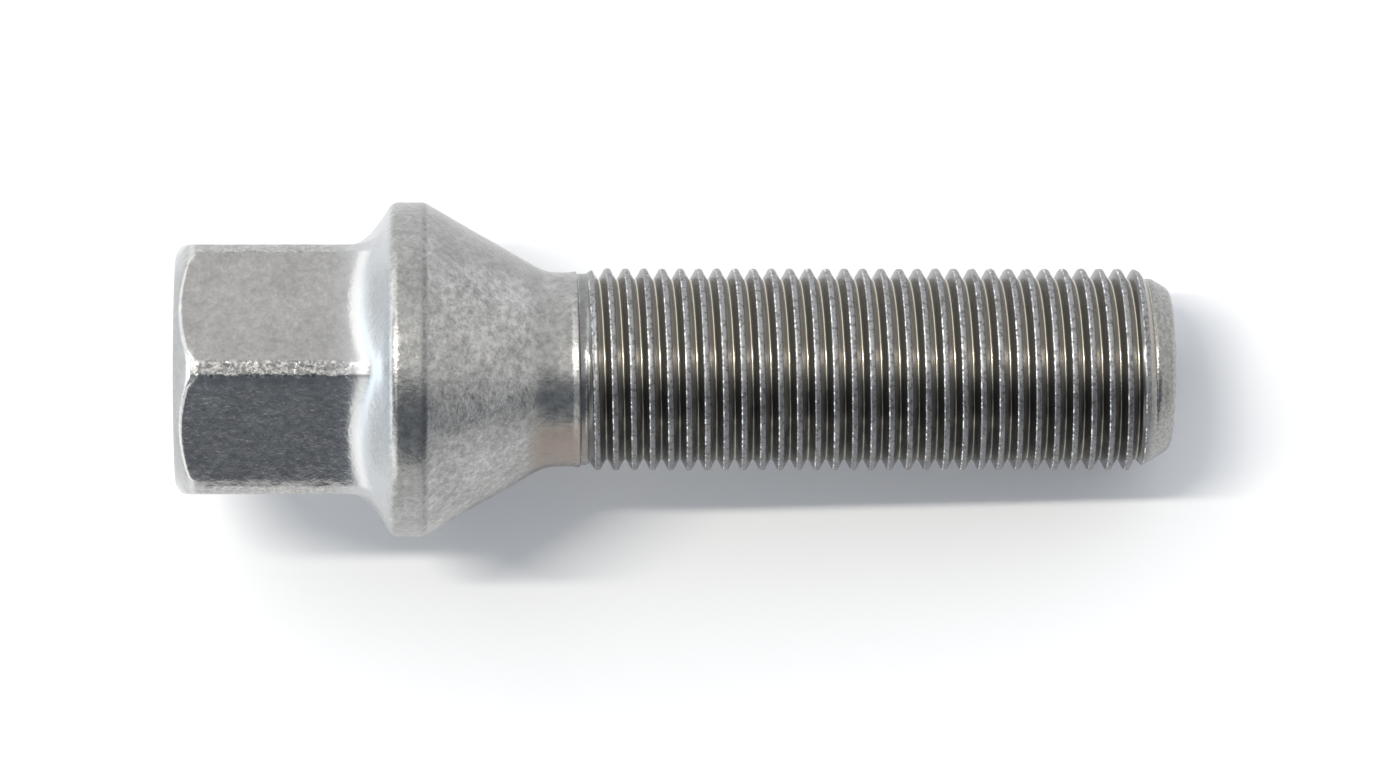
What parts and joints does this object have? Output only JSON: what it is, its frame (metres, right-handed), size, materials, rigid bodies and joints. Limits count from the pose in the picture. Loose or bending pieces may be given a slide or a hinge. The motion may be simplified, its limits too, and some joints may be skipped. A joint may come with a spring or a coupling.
{
  "type": "wheel bolt",
  "caption": "One-piece steel wheel bolt with a chamfered hexagon head, flared shoulder, round collar, tapered seat, plain neck and a fine right-hand thread that ends in a rounded lead-in.",
  "frame": {"origin": "centre of the flat end face of the hexagon, on which the bolt stands", "axes": "+Z along the bolt's axis, from the head to the threaded tip; flats of the hexagon face +X and -X, and corners point along +Y and -Y"},
  "size_m": [0.0228, 0.0228, 0.068],
  "materials": {
    "zinc_coated_steel": "dull zinc coating, grainy on the forged head, darker and smoother on the rolled thread"
  },
  "bodies": {
    "root": {"wheel_bolt": "zinc_coated_steel"}
  },
  "joints": []
}
